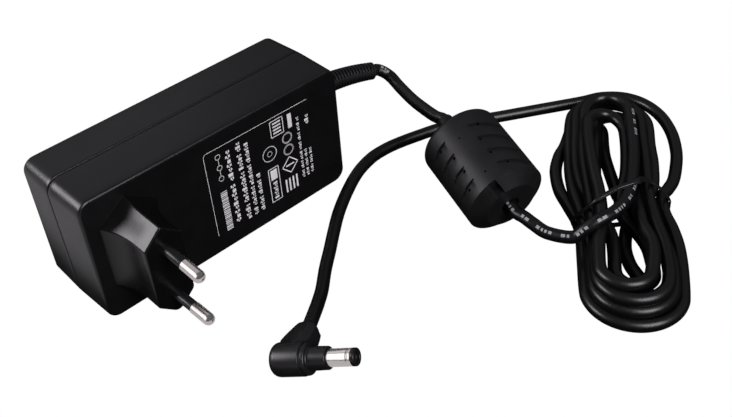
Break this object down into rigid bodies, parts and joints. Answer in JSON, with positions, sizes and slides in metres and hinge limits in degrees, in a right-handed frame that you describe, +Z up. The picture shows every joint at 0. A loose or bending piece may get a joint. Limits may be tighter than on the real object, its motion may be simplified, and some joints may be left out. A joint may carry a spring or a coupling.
{
  "type": "plug-in power adapter",
  "caption": "Wall-plug switching power adapter: a two-shell housing with a fixed flat mains plug, and a DC cord with strain relief, ferrite, tied hank and right-angle barrel plug.",
  "frame": {"origin": "middle of the housing box, pins included, on the plane it stands on", "axes": "+X from the mains-plug end to the cord end of the housing, -Y the way the mains pins point, +Z up"},
  "size_m": [0.2153, 0.1663, 0.049],
  "materials": {
    "housing_black": "moulded ABS/PC blend, satin with a fine spark-eroded texture",
    "plug_black": "moulded nylon, satin",
    "pin_nickel": "nickel-plated brass, polished",
    "sleeve_black": "smooth insulating sleeve",
    "pin_brass": "stamped strip",
    "board_green": "glass-epoxy laminate with solder mask",
    "sheet_cream": "insulation paper",
    "fuse_ceramic": "ceramic fuse",
    "disc_blue": "epoxy-dipped disc",
    "disc_green": "epoxy-dipped disc",
    "box_yellow": "moulded capacitor box",
    "ferrite_grey": "sintered ferrite",
    "wire_copper": "enamelled copper wire",
    "epoxy_black": "moulded epoxy package",
    "can_sleeve": "shrink sleeve on an aluminium can",
    "can_black": "shrink sleeve on an aluminium can",
    "heatsink_aluminium": "bent sheet, natural",
    "screw_steel": "zinc plated",
    "resistor_blue": "lacquered film resistor",
    "capacitor_orange": "epoxy-dipped disc",
    "bobbin_black": "moulded phenolic",
    "tape_yellow": "polyester tape",
    "opto_white": "moulded package",
    "ring_yellow": "coated powder core",
    "lead_red": "PVC insulated wire",
    "cord_black": "PVC jacket, satin",
    "relief_black": "moulded soft PVC",
    "overmould_black": "moulded PVC, satin",
    "tie_black": "plastic-covered wire tie",
    "grip_black": "moulded PVC, satin",
    "barrel_nickel": "nickel-plated brass, polished",
    "tip_black": "moulded insulator"
  },
  "bodies": {
    "root": {"front_shell": "housing_black", "rear_shell": "housing_black", "plug_insert": "plug_black", "upper_pin": "pin_nickel", "lower_pin": "pin_nickel", "upper_pin_sleeve": "sleeve_black", "lower_pin_sleeve": "sleeve_black", "upper_pin_strip": "pin_brass", "lower_pin_strip": "pin_brass", "circuit_board": "board_green", "insulation_sheet": "sheet_cream", "fuse": "fuse_ceramic", "varistor": "disc_blue", "inrush_thermistor": "disc_green", "x_capacitor": "box_yellow", "choke_core": "ferrite_grey", "choke_windings": "wire_copper", "bridge_rectifier": "epoxy_black", "bulk_capacitor": "can_sleeve", "switching_transistor": "epoxy_black", "primary_heatsink": "heatsink_aluminium", "heatsink_screws": "screw_steel", "snubber_resistor": "resistor_blue", "snubber_capacitor": "capacitor_orange", "pwm_controller": "epoxy_black", "auxiliary_capacitor": "can_black", "transformer_core": "ferrite_grey", "transformer_bobbin": "bobbin_black", "transformer_windings": "tape_yellow", "transformer_tape": "tape_yellow", "y_capacitor": "disc_blue", "optocoupler": "opto_white", "output_rectifier": "epoxy_black", "secondary_heatsink": "heatsink_aluminium", "output_capacitors": "can_black", "output_choke_core": "ring_yellow", "output_choke_winding": "wire_copper", "chip_resistors": "epoxy_black", "output_leads": "lead_red", "cord_entry": "cord_black", "strain_relief": "relief_black", "lead_cord": "cord_black", "ferrite_overmould": "overmould_black", "ferrite_core": "ferrite_grey", "cord_hank": "cord_black", "twist_tie": "tie_black", "tail_cord": "cord_black", "dc_plug_grip": "grip_black", "dc_plug_barrel": "barrel_nickel", "dc_plug_insulator": "tip_black", "dc_plug_contact": "pin_brass"}
  },
  "joints": []
}
